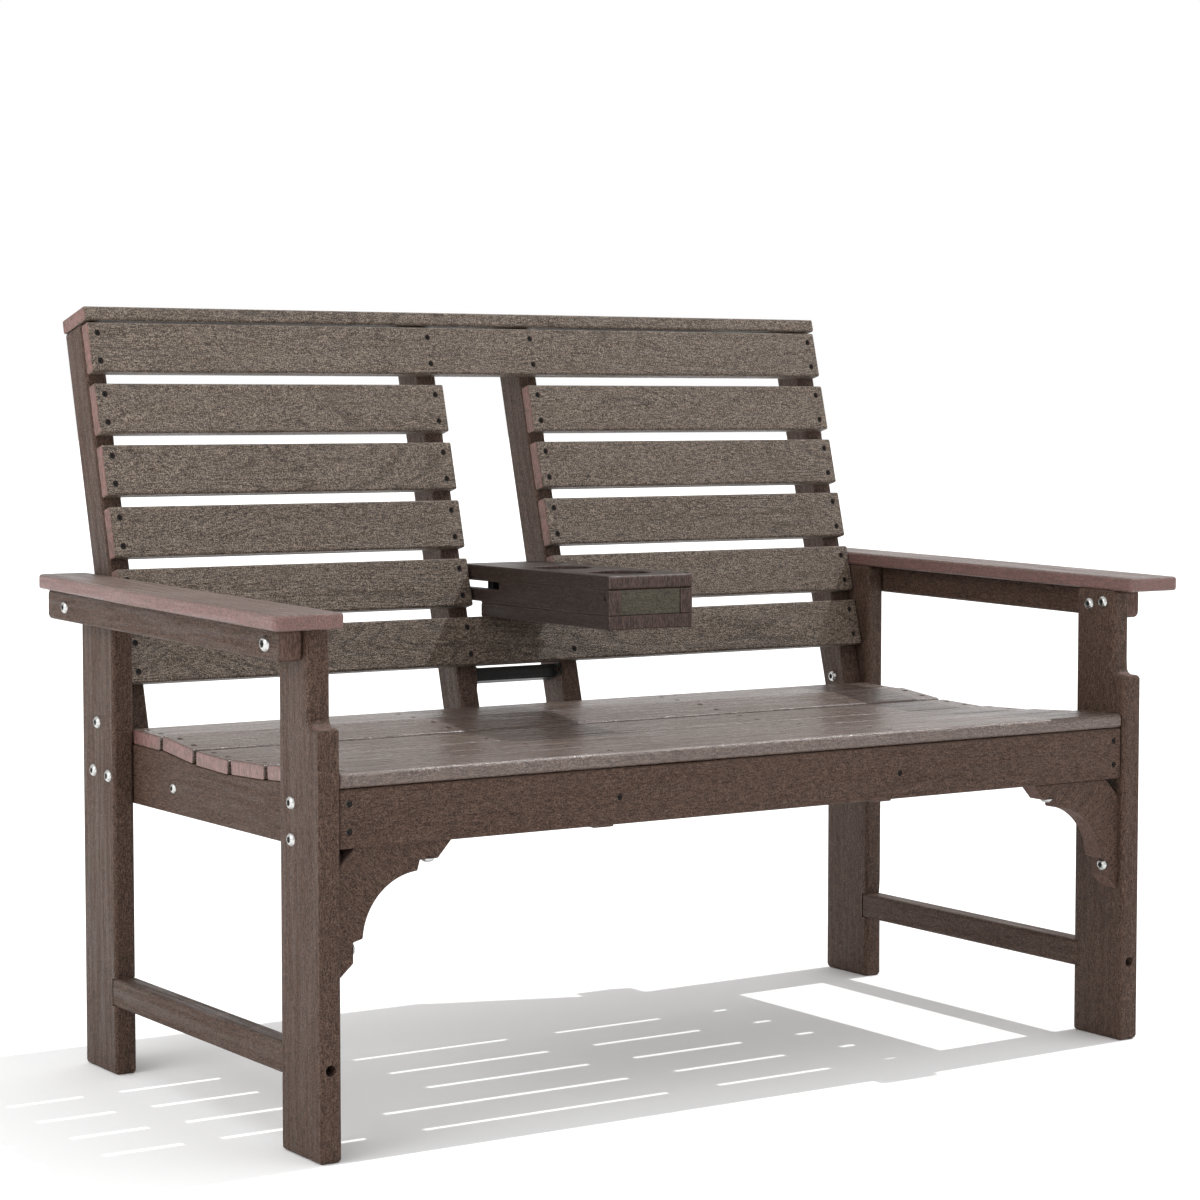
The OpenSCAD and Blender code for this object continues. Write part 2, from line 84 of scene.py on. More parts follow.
class Tree:
    """A thin typed wrapper that adds and links nodes in one node tree."""

    def __init__(self, tree: bpy.types.NodeTree) -> None:
        """Wrap a tree.

        Args:
            tree: The shader or geometry node tree to fill.
        """
        self.tree = tree

    def add(self, kind: str, **settings: object) -> bpy.types.Node:
        """Add a node and set its plain properties.

        Args:
            kind: The node's bl_idname.
            settings: Property names and values.

        Returns:
            The new node.
        """
        node = self.tree.nodes.new(kind)
        for name, value in settings.items():
            setattr(node, name, value)
        return node

    def link(self, source: bpy.types.NodeSocket, target: bpy.types.NodeSocket) -> None:
        """Join two sockets."""
        self.tree.links.new(source, target)

    def feed(self, target: bpy.types.NodeSocket, value: object) -> None:
        """Give a socket a link or a constant.

        Args:
            target: The input socket.
            value: Another node's output socket, or a plain value.
        """
        if isinstance(value, bpy.types.NodeSocket):
            self.link(value, target)
        else:
            target.default_value = value

    def math(self, operation: str, *values: object, clamp: bool = False) -> bpy.types.NodeSocket:
        """Add a Math node.

        Args:
            operation: The operation's name.
            values: Sockets or numbers for its inputs.
            clamp: Whether the result stays within 0 and 1.

        Returns:
            The value output.
        """
        node = self.add("ShaderNodeMath", operation=operation, use_clamp=clamp)
        for slot, value in zip(node.inputs, values):
            self.feed(slot, value)
        return node.outputs[0]

    def vector(self, operation: str, *values: object) -> bpy.types.Node:
        """Add a Vector Math node.

        Args:
            operation: The operation's name.
            values: Sockets or vectors for its inputs.

        Returns:
            The node, whose Vector or Value output is used.
        """
        node = self.add("ShaderNodeVectorMath", operation=operation)
        for slot, value in zip(node.inputs, values):
            self.feed(slot, value)
        return node

    def noise(
        self, coordinates: object, scale: float, detail: float, roughness: float,
    ) -> bpy.types.NodeSocket:
        """Add a Noise Texture.

        Args:
            coordinates: The vector socket it reads.
            scale: Features per metre.
            detail: Octaves.
            roughness: Strength of the finer octaves.

        Returns:
            The noise value.
        """
        node = self.add("ShaderNodeTexNoise")
        self.feed(node.inputs["Vector"], coordinates)
        node.inputs["Scale"].default_value = scale
        node.inputs["Detail"].default_value = detail
        node.inputs["Roughness"].default_value = roughness
        return node.outputs["Fac"]

    def stretch(self, coordinates: object, scale: tuple[float, float, float]) -> bpy.types.NodeSocket:
        """Scale coordinates differently along each axis.

        Args:
            coordinates: The vector socket to scale.
            scale: Factor along each axis.

        Returns:
            The scaled vector.
        """
        return self.vector("MULTIPLY", coordinates, scale).outputs[0]

    def band(
        self, value: object, low: float, high: float, start: float = 0.0, end: float = 1.0,
    ) -> bpy.types.NodeSocket:
        """Map a value smoothly from one band to another.

        Args:
            value: The socket to map.
            low: Where the input band starts.
            high: Where the input band ends.
            start: The result at low.
            end: The result at high.

        Returns:
            The mapped value.
        """
        node = self.add("ShaderNodeMapRange", interpolation_type="SMOOTHSTEP")
        for slot, entry in zip(node.inputs, (value, low, high, start, end)):
            self.feed(slot, entry)
        return node.outputs[0]

    def mix(self, share: object, first: object, second: object) -> bpy.types.NodeSocket:
        """Mix two colours.

        Args:
            share: How much of the second colour.
            first: Socket or colour.
            second: Socket or colour.

        Returns:
            The mixed colour.
        """
        node = self.add("ShaderNodeMix", data_type="RGBA")
        self.feed(node.inputs[0], share)
        self.feed(node.inputs[6], first)
        self.feed(node.inputs[7], second)
        return node.outputs[2]


def new_group(
    name: str, kind: str, inputs: dict[str, str], outputs: dict[str, str],
) -> tuple[Tree, dict, dict]:
    """Make a node group with named sockets.

    Args:
        name: The group's name.
        kind: The tree's type.
        inputs: Input names and socket types.
        outputs: Output names and socket types.

    Returns:
        The tree, its inputs by name and its outputs by name.
    """
    tree = bpy.data.node_groups.new(name, kind)
    for entry, socket in inputs.items():
        tree.interface.new_socket(entry, in_out="INPUT", socket_type=socket)
    for entry, socket in outputs.items():
        tree.interface.new_socket(entry, in_out="OUTPUT", socket_type=socket)
    wrap = Tree(tree)
    source = wrap.add("NodeGroupInput")
    sink = wrap.add("NodeGroupOutput")
    return wrap, {s.name: s for s in source.outputs if s.name}, {s.name: s for s in sink.inputs if s.name}


# ---------------------------------------------------------------- shared surface effects

FLOAT = "NodeSocketFloat"
VECTOR = "NodeSocketVector"


def build_grain_group() -> bpy.types.NodeTree:
    """Relief pressed into plastic lumber: nested grain lines and short pebbled strokes along X.

    Returns:
        The group, with Height and Pebbles outputs.
    """
    tree, ins, outs = new_group(
        "pressed_grain", "ShaderNodeTree",
        {"Coordinates": VECTOR, "Pebble": FLOAT, "Line": FLOAT},
        {"Height": FLOAT, "Pebbles": FLOAT},
    )
    long_field = tree.stretch(ins["Coordinates"], (2.3, 13.0, 13.0))
    field = tree.noise(long_field, 1.0, 1.0, 0.4)
    rings = tree.math("SINE", tree.math("MULTIPLY", field, 150.0))
    lines = tree.band(rings, 0.45, 0.98)
    where = tree.noise(tree.stretch(ins["Coordinates"], (3.0, 9.0, 9.0)), 1.0, 1.0, 0.5)
    patch = tree.band(where, 0.42, 0.60)
    lean = tree.noise(tree.stretch(ins["Coordinates"], (14.0, 30.0, 30.0)), 1.0, 1.0, 0.5)
    shift = tree.add("ShaderNodeCombineXYZ")
    tree.link(tree.math("MULTIPLY", lean, 0.014), shift.inputs[1])
    tree.link(tree.math("MULTIPLY", lean, 0.012), shift.inputs[2])
    bent = tree.vector("ADD", ins["Coordinates"], shift.outputs[0]).outputs[0]
    pebbles = tree.noise(tree.stretch(bent, (0.75, 1.0, 1.0)), 740.0, 2.0, 0.6)
    strokes = tree.noise(tree.stretch(bent, (0.22, 1.0, 1.0)), 520.0, 1.0, 0.5)
    coarse = tree.math("ADD", tree.math("MULTIPLY", tree.band(pebbles, 0.32, 0.68), 0.72),
                       tree.math("MULTIPLY", tree.band(strokes, 0.32, 0.68), 0.28))
    shown = tree.math("MULTIPLY", tree.math("MULTIPLY", lines, patch), ins["Line"])
    pebbled = tree.math("MULTIPLY", coarse, ins["Pebble"])
    relief = tree.math("SUBTRACT", pebbled, tree.math("MULTIPLY", shown, 0.8))
    tree.link(relief, outs["Height"])
    tree.link(coarse, outs["Pebbles"])
    return tree.tree


def build_edge_group() -> bpy.types.NodeTree:
    """Worn edges: a mask from how far the surface turns within a small radius.

    Returns:
        The group, with a Wear output.
    """
    tree, ins, outs = new_group(
        "worn_edges", "ShaderNodeTree",
        {"Coordinates": VECTOR, "Amount": FLOAT}, {"Wear": FLOAT},
    )
    bevel = tree.add("ShaderNodeBevel", samples=4)
    bevel.inputs["Radius"].default_value = 2.2 * MM
    geometry = tree.add("ShaderNodeNewGeometry")
    turn = tree.vector("DOT_PRODUCT", bevel.outputs[0], geometry.outputs["Normal"]).outputs["Value"]
    edge = tree.band(turn, 0.992, 0.90)
    broken = tree.band(tree.noise(ins["Coordinates"], 190.0, 3.0, 0.6), 0.36, 0.62)
    tree.link(tree.math("MULTIPLY", tree.math("MULTIPLY", edge, broken), ins["Amount"]), outs["Wear"])
    return tree.tree


def build_saw_group() -> bpy.types.NodeTree:
    """Sawn ends: a mask for faces square to the grain, and the saw's fine marks on them.

    Returns:
        The group, with End and Marks outputs.
    """
    tree, ins, outs = new_group(
        "sawn_ends", "ShaderNodeTree",
        {"Coordinates": VECTOR, "Normal": VECTOR}, {"End": FLOAT, "Marks": FLOAT},
    )
    split = tree.add("ShaderNodeSeparateXYZ")
    tree.link(ins["Normal"], split.inputs[0])
    end = tree.band(tree.math("ABSOLUTE", split.outputs[0]), 0.55, 0.85)
    marks = tree.noise(tree.stretch(ins["Coordinates"], (1.0, 0.9, 0.16)), 900.0, 2.0, 0.6)
    tree.link(end, outs["End"])
    tree.link(tree.band(marks, 0.3, 0.7), outs["Marks"])
    return tree.tree


def build_dust_group() -> bpy.types.NodeTree:
    """Fine dust and rub marks that gather on faces that look up.

    Returns:
        The group, with Dust and Rub outputs.
    """
    tree, ins, outs = new_group(
        "dust", "ShaderNodeTree",
        {"Coordinates": VECTOR, "Up": FLOAT}, {"Dust": FLOAT, "Rub": FLOAT},
    )
    cloud = tree.band(tree.noise(ins["Coordinates"], 7.0, 4.0, 0.6), 0.35, 0.75)
    upward = tree.band(ins["Up"], 0.4, 0.95)
    rub = tree.noise(tree.stretch(ins["Coordinates"], (0.06, 1.0, 1.0)), 130.0, 3.0, 0.6)
    tree.link(tree.math("MULTIPLY", cloud, upward), outs["Dust"])
    tree.link(rub, outs["Rub"])
    return tree.tree


def build_metal_group() -> bpy.types.NodeTree:
    """Brushed and slightly pitted metal.

    Returns:
        The group, with Scratch and Pit outputs.
    """
    tree, ins, outs = new_group(
        "metal_wear", "ShaderNodeTree", {"Coordinates": VECTOR}, {"Scratch": FLOAT, "Pit": FLOAT},
    )
    scratch = tree.noise(tree.stretch(ins["Coordinates"], (1.0, 0.2, 1.0)), 2400.0, 2.0, 0.6)
    pit_stain_and_painted_shade = tree.band(tree.noise(ins["Coordinates"], 900.0, 2.0, 0.5), 0.62, 0.72)
    tree.link(scratch, outs["Scratch"])
    tree.link(pit_stain_and_painted_shade, outs["Pit"])
    return tree.tree


class Effects:
    """The shader node groups that several finishes share, each built once."""

    grain = build_grain_group()
    edges = build_edge_group()
    saw = build_saw_group()
    dust = build_dust_group()
    metal = build_metal_group()


# ---------------------------------------------------------------- finishes


def backrest_lean() -> float:
    """Angle of the backrest from upright, measured on its bottom slat.

    Returns:
        Radians.
    """
    face = broad_normal(frame["nodes"]["back_slat_bottom"])
    return math.atan2(abs(face.z), abs(face.y))


def broad_normal(obj: bpy.types.Object) -> Vector:
    """Unit normal of an object's broadest flat direction.

    Args:
        obj: A mesh object.

    Returns:
        The area-weighted winning normal.
    """
    totals: dict[tuple[float, float, float], float] = {}
    for face in obj.data.polygons:
        key = tuple(round(abs(v), 3) for v in face.normal)
        totals[key] = totals.get(key, 0.0) + face.area
    return Vector(max(totals, key=totals.get)).normalized()


class Along(Enum):
    """Which way a board's grain runs."""

    ACROSS = "across"
    DEPTH = "depth"
    UPRIGHT = "upright"
    RECLINED = "reclined"
    FALLING = "falling"
    RISING = "rising"

    def turn(self) -> tuple[float, float, float]:
        """Euler angles that lay this direction along X."""
        quarter = math.pi / 2
        return {
            Along.ACROSS: (0.0, 0.0, 0.0),
            Along.DEPTH: (0.0, 0.0, -quarter),
            Along.UPRIGHT: (0.0, quarter, 0.0),
            Along.RECLINED: (backrest_lean(), quarter, 0.0),
            Along.FALLING: (0.0, quarter / 2, 0.0),
            Along.RISING: (0.0, -quarter / 2, 0.0),
        }[self]


Colour = tuple[float, float, float, float]


def srgb(red: int, green: int, blue: int) -> Colour:
    """Linear colour from screen values.

    Args:
        red: 0 to 255.
        green: 0 to 255.
        blue: 0 to 255.

    Returns:
        Linear red, green, blue and alpha.
    """
    def linear(value: int) -> float:
        """One channel's linear value."""
        share = value / 255
        return share / 12.92 if share <= 0.04045 else ((share + 0.055) / 1.055) ** 2.4
    return (linear(red), linear(green), linear(blue), 1.0)


@dataclass(frozen=True)
class LumberFinish:
    """Brown plastic lumber with a pressed wood grain."""

    name: str
    # The pit colour paints shade into the pressed grain's pits and the ridge colour paints a highlight on its
    # ridges; body is the lumber's own tone.
    pit_stain_and_painted_shade: Colour = srgb(48, 38, 33)
    body: Colour = srgb(80, 66, 58)
    painted_ridge_highlight: Colour = srgb(116, 101, 91)
    sawn: Colour = srgb(138, 98, 95)
    sawn_share: float = 0.85
    side_share: float = 0.0
    shine: float = 0.3
    worn: Colour = srgb(128, 111, 101)
    dust: Colour = srgb(158, 150, 144)
    pebble: float = 1.0
    line: float = 0.8
    wear: float = 0.5
    dust_share: float = 0.12
    rough_low: float = 0.36
    rough_high: float = 0.60
    relief_mm: float = 0.55

    def material(self, along: Along) -> bpy.types.Material:
        """Build this finish for one grain direction, or find it if it exists.

        Args:
            along: Which way the grain runs.

        Returns:
            The material.
        """
        label = f"{self.name}_{along.value}"
        if label in bpy.data.materials:
            return bpy.data.materials[label]
        material = bpy.data.materials.new(label)
        material.use_nodes = True
        tree = Tree(material.node_tree)
        shader = material.node_tree.nodes["Principled BSDF"]
        where = tree.add("ShaderNodeTexCoord")
        mapping = tree.add("ShaderNodeMapping", vector_type="POINT")
        mapping.inputs["Rotation"].default_value = along.turn()
        tree.link(where.outputs["Object"], mapping.inputs["Vector"])
        facing = tree.add("ShaderNodeMapping", vector_type="POINT")
        facing.inputs["Rotation"].default_value = along.turn()
        tree.link(where.outputs["Normal"], facing.inputs["Vector"])
        upward = tree.add("ShaderNodeSeparateXYZ")
        tree.link(where.outputs["Normal"], upward.inputs[0])
        spot = mapping.outputs[0]

        grain = tree.add("ShaderNodeGroup", node_tree=Effects.grain)
        tree.link(spot, grain.inputs["Coordinates"])
        grain.inputs["Pebble"].default_value = self.pebble
        grain.inputs["Line"].default_value = self.line
        edges = tree.add("ShaderNodeGroup", node_tree=Effects.edges)
        tree.link(spot, edges.inputs["Coordinates"])
        edges.inputs["Amount"].default_value = self.wear
        saw = tree.add("ShaderNodeGroup", node_tree=Effects.saw)
        tree.link(spot, saw.inputs["Coordinates"])
        tree.link(facing.outputs[0], saw.inputs["Normal"])
        dust = tree.add("ShaderNodeGroup", node_tree=Effects.dust)
        tree.link(spot, dust.inputs["Coordinates"])
        tree.link(upward.outputs[2], dust.inputs["Up"])

        height = grain.outputs["Height"]
        # Painted light: the relief pattern shades the pits towards the pit colour and lights the ridges
        # towards the ridge colour.
        tone = tree.math("ADD", tree.math("MULTIPLY", height, 0.5),
                         tree.math("MULTIPLY", grain.outputs["Pebbles"], 0.5))
        low = tree.mix(tree.band(tone, 0.05, 0.50), self.pit_stain_and_painted_shade, self.body)
        pressed = tree.mix(tree.band(tone, 0.45, 0.95), low, self.painted_ridge_highlight)
        sawn_mix = tree.mix(tree.band(saw.outputs["Marks"], 0.1, 0.9), self.body, self.sawn)
        end_share = tree.math("MULTIPLY", saw.outputs["End"], self.sawn_share)
        ended = tree.mix(end_share, pressed, sawn_mix)
        side = tree.band(tree.math("ABSOLUTE", upward.outputs[2]), 0.75, 0.45, 0.0, self.side_share)
        sided = tree.mix(side, ended, tree.mix(tree.band(tone, 0.1, 0.9), self.body, self.sawn))
        rubbed = tree.mix(edges.outputs["Wear"], sided, self.worn)
        dusty = tree.mix(tree.math("MULTIPLY", dust.outputs["Dust"], self.dust_share), rubbed, self.dust)
        tree.link(dusty, shader.inputs["Base Color"])

        shine = tree.band(dust.outputs["Rub"], 0.35, 0.65, self.rough_low, self.rough_high)
        dulled = tree.math("ADD", shine, tree.math("MULTIPLY", saw.outputs["End"], 0.15), clamp=True)
        tree.link(dulled, shader.inputs["Roughness"])
        shader.inputs["Specular IOR Level"].default_value = self.shine
        flat = tree.math("SUBTRACT", 1.0, end_share)
        relief = tree.math("ADD", tree.math("MULTIPLY", height, flat),
                           tree.math("MULTIPLY", saw.outputs["Marks"], tree.math("MULTIPLY", end_share, 0.5)))
        bump = tree.add("ShaderNodeBump")
        bump.inputs["Strength"].default_value = 1.0
        bump.inputs["Distance"].default_value = self.relief_mm * MM
        tree.link(relief, bump.inputs["Height"])
        tree.link(bump.outputs[0], shader.inputs["Normal"])
        return material


@dataclass(frozen=True)
class MetalFinish:
    """Bare or coated steel of a fastener."""

    name: str
    tone: Colour
    stain: Colour
    metallic: float
    rough_low: float
    rough_high: float
    # Painted shade colour for the inside of each socket and the ring round a domed head's foot.
    recess: Colour = (0.012, 0.011, 0.010, 1.0)

    def material(self) -> bpy.types.Material:
        """Build this finish, or find it if it exists.

        Returns:
            The material.
        """
        if self.name in bpy.data.materials:
            return bpy.data.materials[self.name]
        material = bpy.data.materials.new(self.name)
        material.use_nodes = True
        tree = Tree(material.node_tree)
        shader = material.node_tree.nodes["Principled BSDF"]
        where = tree.add("ShaderNodeTexCoord")
        wear = tree.add("ShaderNodeGroup", node_tree=Effects.metal)
        tree.link(where.outputs["Object"], wear.inputs["Coordinates"])
        # Painted shade: this attribute turns the socket and the ring round a domed head's foot near black and
        # takes away their metal shine.
        sunk = tree.add("ShaderNodeAttribute", attribute_name="recess").outputs["Fac"]
        pitted = tree.mix(wear.outputs["Pit"], self.tone, self.stain)
        tree.link(tree.mix(sunk, pitted, self.recess), shader.inputs["Base Color"])
        bare = tree.math("SUBTRACT", 1.0, sunk)
        tree.link(tree.math("MULTIPLY", bare, self.metallic), shader.inputs["Metallic"])
        tree.link(tree.band(wear.outputs["Scratch"], 0.3, 0.7, self.rough_low, self.rough_high),
                  shader.inputs["Roughness"])
        bump = tree.add("ShaderNodeBump")
        bump.inputs["Strength"].default_value = 0.25
        bump.inputs["Distance"].default_value = 0.05 * MM
        tree.link(wear.outputs["Scratch"], bump.inputs["Height"])
        tree.link(bump.outputs[0], shader.inputs["Normal"])
        return material


FRAME_LUMBER = LumberFinish(
    "frame_lumber", pit_stain_and_painted_shade=srgb(44, 31, 25), body=srgb(71, 54, 45), painted_ridge_highlight=srgb(98, 78, 67),
    shine=0.15, sawn=srgb(106, 82, 76), line=0.2,
)
SEAT_LUMBER = LumberFinish(
    "seat_lumber", body=srgb(84, 65, 57), shine=0.7, rough_low=0.22, rough_high=0.36,
    relief_mm=0.4, line=0.3,
)
# Painted light: the backrest slats lean back and face the light from above, so their body and ridge are
# painted lighter than the frame's.
BACK_LUMBER_PAINTED_LIT = LumberFinish(
    "back_lumber", pit_stain_and_painted_shade=srgb(44, 35, 29), body=srgb(88, 75, 64), painted_ridge_highlight=srgb(140, 125, 111),
    line=0.35, relief_mm=0.8,
)
ARM_LUMBER = LumberFinish(
    "arm_lumber", pit_stain_and_painted_shade=srgb(66, 50, 45), body=srgb(92, 73, 66), painted_ridge_highlight=srgb(118, 98, 90),
    sawn=srgb(132, 92, 89), sawn_share=0.0, side_share=0.8, shine=0.45, rough_low=0.28,
    rough_high=0.5, line=0.2,
)
# Painted shade: the tray's tone is darkened to stand in for the shade that falls on its side faces.
TRAY_LUMBER_PAINTED_SHADE = LumberFinish(
    "tray_lumber", pit_stain_and_painted_shade=srgb(24, 17, 14), body=srgb(48, 36, 31), painted_ridge_highlight=srgb(76, 62, 54), pebble=0.6,
    line=0.3, relief_mm=0.25, rough_low=0.34, rough_high=0.52, sawn=srgb(90, 70, 64),
)
END_LUMBER = LumberFinish(
    "end_lumber", pit_stain_and_painted_shade=srgb(46, 42, 32), body=srgb(74, 68, 55), painted_ridge_highlight=srgb(96, 88, 74), pebble=0.6,
    line=0.2, relief_mm=0.25, sawn_share=0.0, wear=0.2,
)
BLACK_PLASTIC = LumberFinish(
    "black_plastic", pit_stain_and_painted_shade=srgb(16, 15, 15), body=srgb(24, 22, 22), painted_ridge_highlight=srgb(38, 36, 35),
    sawn_share=0.0, worn=srgb(70, 68, 66), line=0.0, relief_mm=0.15, dust_share=0.05,
)
BRIGHT_STEEL = MetalFinish(
    "bright_steel", (0.5, 0.5, 0.49, 1.0), (0.24, 0.23, 0.22, 1.0), 1.0, 0.14, 0.34,
)
DARK_STEEL = MetalFinish(
    "dark_steel", (0.012, 0.011, 0.01, 1.0), (0.04, 0.032, 0.026, 1.0), 0.3, 0.4, 0.65,
)


# ---------------------------------------------------------------- mesh helpers


def loose_mesh(node: str) -> bmesh.types.BMesh:
    """Copy a CAD node's mesh with its doubled points merged.

    Args:
        node: The node's name.

    Returns:
        A new bmesh, to be freed by the caller.
    """
    mesh = bmesh.new()
    mesh.from_mesh(frame["nodes"][node].data)
    bmesh.ops.remove_doubles(mesh, verts=mesh.verts, dist=0.002 * MM)
    return mesh


def islands(items: list, neighbours: Callable[[object], list]) -> list[list]:
    """Split linked items into connected groups.

    Args:
        items: Edges or vertices.
        neighbours: Function from an item to the items it touches.

    Returns:
        The groups.
    """
    left = set(items)
    groups = []
    for start in items:
        if start not in left:
            continue
        left.discard(start)
        group, queue = [start], [start]
        while queue:
            for other in neighbours(queue.pop()):
                if other in left:
                    left.discard(other)
                    group.append(other)
                    queue.append(other)
        groups.append(group)
    return groups


def evaluated_copy(obj: bpy.types.Object) -> bpy.types.Mesh:
    """Plain mesh of an object with its modifiers applied.

    Args:
        obj: The object.

    Returns:
        A new mesh datablock.
    """
    depsgraph = bpy.context.evaluated_depsgraph_get()
    return bpy.data.meshes.new_from_object(obj.evaluated_get(depsgraph), depsgraph=depsgraph)


def new_object(name: str, mesh: bpy.types.Mesh) -> bpy.types.Object:
    """Link a new object at the origin.

    Args:
        name: The object's name.
        mesh: Its mesh.

    Returns:
        The object.
    """
    obj = bpy.data.objects.new(name, mesh)
    bpy.context.scene.collection.objects.link(obj)
    return obj


def body_of(node: str) -> str:
    """The body that a CAD node rides on."""
    bodies = frame["record"]["behaviour"]["bodies"]
    return next(body for body, nodes in bodies.items() if node in nodes)


def dress(obj: bpy.types.Object, material: bpy.types.Material) -> None:
    """Give an object one material on every face.

    Args:
        obj: The object.
        material: The material.
    """
    obj.data.materials.clear()
    obj.data.materials.append(material)
    for face in obj.data.polygons:
        face.material_index = 0


# ---------------------------------------------------------------- lumber


@dataclass(frozen=True)
class Routing:
    """How a board's edges are rounded, in millimetres, and whether its bolt holes show."""

    long_edge: float = 3.0
    end_edge: float = 0.8
    segments: int = 4
    open_holes: bool = False


@dataclass
class Board:
    """One board: its CAD shape with routed edges and a lumber finish."""

    node: str
    along: Along
    finish: LumberFinish
    routing: Routing = Routing()
    housings: tuple[str, ...] = ()

    SHARP = math.radians(35)
    FLAT = math.radians(0.4)
    HOLE_SPAN = 45 * MM
    BOLT_SPAN = 12 * MM
    END_BAND = 0.6 * MM
    WALL_SHARE = 0.2

    def build(self) -> bpy.types.Object:
        """Make the routed board and hang it in place of its CAD node.

        Returns:
            The finished piece.
        """
        shape = loose_mesh(self.node)
        if not self.routing.open_holes:
            self._plug_holes(shape)
        bmesh.ops.dissolve_limit(
            shape, angle_limit=self.FLAT, verts=shape.verts[:], edges=shape.edges[:],
        )
        self._weigh_edges(shape)
        mesh = bpy.data.meshes.new(f"{self.node}_routed")
        shape.to_mesh(mesh)
        shape.free()
        piece = new_object(f"{self.node}_board", mesh)
        bevel = piece.modifiers.new("routing", "BEVEL")
        bevel.width = max(self.routing.long_edge, self.routing.end_edge) * MM
        bevel.segments = self.routing.segments
        bevel.limit_method = "WEIGHT"
        bevel.use_clamp_overlap = False
        bevel.miter_outer = "MITER_SHARP"
        for face in mesh.polygons:
            face.use_smooth = True
        mesh.set_sharp_from_angle(angle=self.SHARP)
        weighted = piece.modifiers.new("flat_faces", "WEIGHTED_NORMAL")
        weighted.weight = 100
        weighted.keep_sharp = True
        finished = evaluated_copy(piece)
        piece.modifiers.clear()
        piece.data = finished
        dress(piece, self.finish.material(self.along))
        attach(piece, body_of(self.node))
        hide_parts(self.node)
        return piece

    def _grain_axis(self) -> Vector:
        """Unit vector of the grain in the row's frame."""
        lean = backrest_lean()
        return {
            Along.ACROSS: Vector((1, 0, 0)),
            Along.DEPTH: Vector((0, 1, 0)),
            Along.UPRIGHT: Vector((0, 0, 1)),
            Along.RECLINED: Vector((0, math.sin(lean), math.cos(lean))),
            Along.FALLING: Vector((1, 0, -1)).normalized(),
            Along.RISING: Vector((1, 0, 1)).normalized(),
        }[self.along]

    def _sharp_groups(self, shape: bmesh.types.BMesh) -> list[tuple[list, float]]:
        """Connected groups of sharp edges.

        Args:
            shape: The board's mesh.

        Returns:
            Each group and the side of the cube that it fills.
        """
        sharp = [e for e in shape.edges if len(e.link_faces) == 2 and e.calc_face_angle(0.0) > self.SHARP]
        chosen = set(sharp)
        groups = islands(sharp, lambda edge: [e for v in edge.verts for e in v.link_edges if e in chosen])
        sized = []
        for group in groups:
            points = [v.co for e in group for v in e.verts]
            spans = [max(p[i] for p in points) - min(p[i] for p in points) for i in range(3)]
            sized.append((group, max(spans)))
        return sized

    def _plug_holes(self, shape: bmesh.types.BMesh) -> None:
        """Close the bores that a bolt's head or another board hides.

        Args:
            shape: The board's mesh.
        """
        rims = {e for group, span in self._sharp_groups(shape) if span < self.BOLT_SPAN for e in group}
        walls = {min(edge.link_faces, key=lambda f: f.calc_area()) for edge in rims}
        queue = list(walls)
        while queue:
            face = queue.pop()
            for edge in face.edges:
                if edge in rims:
                    continue
                for other in edge.link_faces:
                    if other not in walls:
                        walls.add(other)
                        queue.append(other)
        whole = sum(f.calc_area() for f in shape.faces)
        if not walls or sum(f.calc_area() for f in walls) > self.WALL_SHARE * whole:
            return
        bmesh.ops.delete(shape, geom=list(walls), context="FACES")
        rim = [e for e in shape.edges if len(e.link_faces) == 1]
        bmesh.ops.holes_fill(shape, edges=rim, sides=0)
        bmesh.ops.recalc_face_normals(shape, faces=shape.faces)

    def _weigh_edges(self, shape: bmesh.types.BMesh) -> None:
        """Mark which edges are routed: all sharp ones but the rims of small holes.

        Args:
            shape: The board's mesh.
        """
        axis = self._grain_axis()
        places = [v.co.dot(axis) for v in shape.verts]
        low, high = min(places), max(places)
        width = max(self.routing.long_edge, self.routing.end_edge)
        layer = shape.edges.layers.float.new("bevel_weight_edge")
        boxes = [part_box(node) for node in self.housings]
        for group, span in self._sharp_groups(shape):
            if span < self.HOLE_SPAN:
                continue
            for edge in group:
                ends = [v.co.dot(axis) for v in edge.verts]
                at_end = any(all(abs(p - end) < self.END_BAND for p in ends) for end in (low, high))
                middle = (edge.verts[0].co + edge.verts[1].co) / 2
                if not any(self._inside(middle, box) for box in boxes):
                    edge[layer] = (self.routing.end_edge if at_end else self.routing.long_edge) / width

    @staticmethod
    def _inside(point: Vector, box: tuple) -> bool:
        """Whether a point lies in a box or within a millimetre of it."""
        low, high = box
        return all(low[i] - MM <= point[i] <= high[i] + MM for i in range(3))


SLAT = Routing(long_edge=2.0, end_edge=2.2, open_holes=True)
LEG = Routing(long_edge=5.0, end_edge=5.0, segments=5)
RAIL = Routing(long_edge=4.0, end_edge=4.0)
SUPPORT = Routing(long_edge=1.5, end_edge=1.5, segments=3)
ARM = Routing(long_edge=3.5, end_edge=3.5)
PANEL = Routing(long_edge=1.2, end_edge=1.2, segments=3, open_holes=True)


